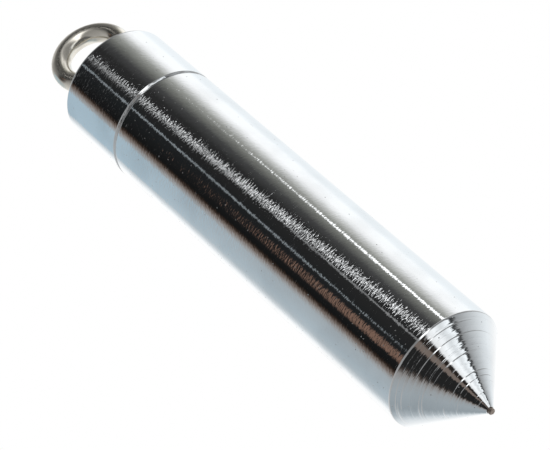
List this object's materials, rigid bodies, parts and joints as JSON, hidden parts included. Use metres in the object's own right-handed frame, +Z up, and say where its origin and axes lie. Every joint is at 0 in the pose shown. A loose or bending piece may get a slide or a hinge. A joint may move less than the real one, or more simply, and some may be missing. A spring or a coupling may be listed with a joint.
{
  "type": "plumb bob",
  "caption": "Cylindrical steel plumb bob with a conical point, a cap that unscrews and a swivelling ring eye for its line.",
  "frame": {"origin": "the tip of the point, on the axis, at the bottom of the hanging bob", "axes": "+Z up the axis from the point to the eye, as the bob hangs; +X in the plane of the ring; +Y through the ring"},
  "size_m": [0.02, 0.02, 0.109],
  "materials": {
    "bob_chrome": "bright chrome plate over turned steel, with fine turning lines and small pits",
    "point_steel": "bare hardened steel, matt, slightly brown",
    "cap_chrome": "bright chrome plate over turned steel, with fine turning lines",
    "washer_zinc": "zinc plate, satin",
    "eye_nickel": "bright nickel plate, polished, warm",
    "nut_zinc": "zinc plate, satin"
  },
  "bodies": {
    "bob": {"bob_body": "bob_chrome", "point_pin": "point_steel"},
    "washer": {"swivel_washer": "washer_zinc"},
    "cap": {"screw_cap": "cap_chrome"},
    "eye": {"cord_eye": "eye_nickel", "swivel_nut": "nut_zinc", "lock_nut": "nut_zinc"}
  },
  "joints": [
    {"name": "cap_lift", "type": "slide", "parent": "bob", "child": "washer", "axis": [0, 0, 1], "range_m": [0, 0.009]},
    {"name": "cap_turn", "type": "hinge", "parent": "washer", "child": "cap", "pos_m": [0, 0, 0.0797], "axis": [0, 0, 1], "range_deg": [0, 2160]},
    {"name": "eye_swivel", "type": "hinge", "parent": "cap", "child": "eye", "pos_m": [0, 0, 0.0938], "axis": [0, 0, 1], "continuous": true}
  ],
  "couplings": [
    {"joint": "cap_lift", "follows": "cap_turn", "m_per_rad": 0.00023873}
  ]
}
